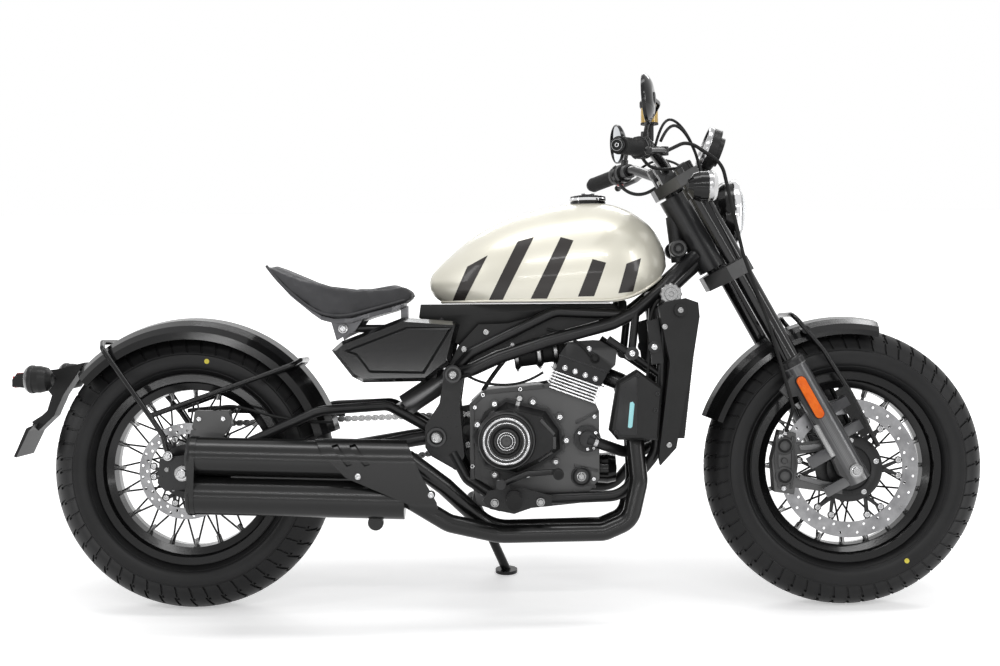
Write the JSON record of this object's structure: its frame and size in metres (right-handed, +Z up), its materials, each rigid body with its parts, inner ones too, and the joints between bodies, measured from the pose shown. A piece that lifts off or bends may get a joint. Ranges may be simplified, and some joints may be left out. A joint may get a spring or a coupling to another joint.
{
  "type": "bobber motorcycle",
  "caption": "Low bobber motorcycle with solo seat, teardrop tank, wire wheels, raked fork and stacked mufflers, leaning on its side stand.",
  "frame": {"origin": "middle of the outline's box on the ground", "axes": "+X forward, +Y to the rider's left, +Z up from the ground; the motorcycle leans to its left"},
  "size_m": [2.218, 0.8264, 1.2029],
  "materials": {
    "black_frame": "semi-gloss",
    "black_plastic": "matte",
    "chrome": "polished",
    "cream_paint": "pearl",
    "dark_cast": "satin",
    "gloss_black": "gloss",
    "grey_metal": "satin",
    "lamp_glass": "clear",
    "rubber": "matte",
    "seat_leather": "soft",
    "signal_lens": "gloss",
    "steel": "brushed",
    "tyre": "matte"
  },
  "bodies": {
    "chassis": {"frame": "black_frame", "swingarm": "black_frame", "rear_axle": "steel", "rear_shock": "steel", "crankcase": "dark_cast", "cylinders": "dark_cast", "engine_covers": "dark_cast", "water_pump": "dark_cast", "oil_filter": "black_frame", "exhaust_headers": "black_frame", "mufflers": "black_frame", "muffler_shield": "black_frame", "radiator": "grey_metal", "radiator_covers": "gloss_black", "canister_box": "black_plastic", "fuel_tank": "cream_paint", "filler_cap": "chrome", "seat": "seat_leather", "seat_pan": "grey_metal", "airbox": "black_plastic", "side_covers": "gloss_black", "under_tank_panels": "black_plastic", "rear_fender": "black_frame", "fender_struts": "black_frame", "tail_bracket": "black_frame", "tail_lights": "signal_lens", "foot_pegs": "dark_cast", "foot_controls": "black_frame", "chain": "steel", "chain_guard": "black_plastic", "rear_caliper": "dark_cast"},
    "stand": {"side_stand": "black_frame"},
    "steering": {"triple_clamps": "dark_cast", "fork_tubes": "gloss_black", "fork_sliders": "grey_metal", "front_axle": "steel", "handlebar": "black_frame", "grips": "rubber", "bar_controls": "dark_cast", "brake_reservoir": "gloss_black", "mirrors": "gloss_black", "headlight": "black_frame", "headlight_lens": "lamp_glass", "gauge": "gloss_black", "front_signals": "signal_lens", "front_fender": "black_frame", "fender_brace": "black_frame", "front_caliper": "dark_cast", "front_hose": "rubber"},
    "front_wheel": {"front_tyre": "tyre", "front_wheel": "black_frame", "front_disc": "steel"},
    "rear_wheel": {"rear_tyre": "tyre", "rear_wheel": "black_frame", "rear_disc": "steel", "rear_sprocket": "steel"}
  },
  "joints": [
    {"name": "steering_turn", "type": "hinge", "parent": "chassis", "child": "steering", "pos_m": [0.44759, -0.03245, 0.84949], "axis": [-0.4848, 0.1368, 0.8639], "range_deg": [-35, 35]},
    {"name": "front_wheel_spin", "type": "hinge", "parent": "steering", "child": "front_wheel", "pos_m": [0.7911, -0.11714, 0.31482], "axis": [0, 0.9877, -0.1564], "continuous": true},
    {"name": "rear_wheel_spin", "type": "hinge", "parent": "chassis", "child": "rear_wheel", "pos_m": [-0.6989, -0.11665, 0.31791], "axis": [0, 0.9877, -0.1564], "continuous": true},
    {"name": "side_stand_fold", "type": "hinge", "parent": "chassis", "child": "stand", "pos_m": [-0.0589, 0.00367, 0.20179], "axis": [0, 0.9432, 0.3323], "range_deg": [0, 98]}
  ]
}
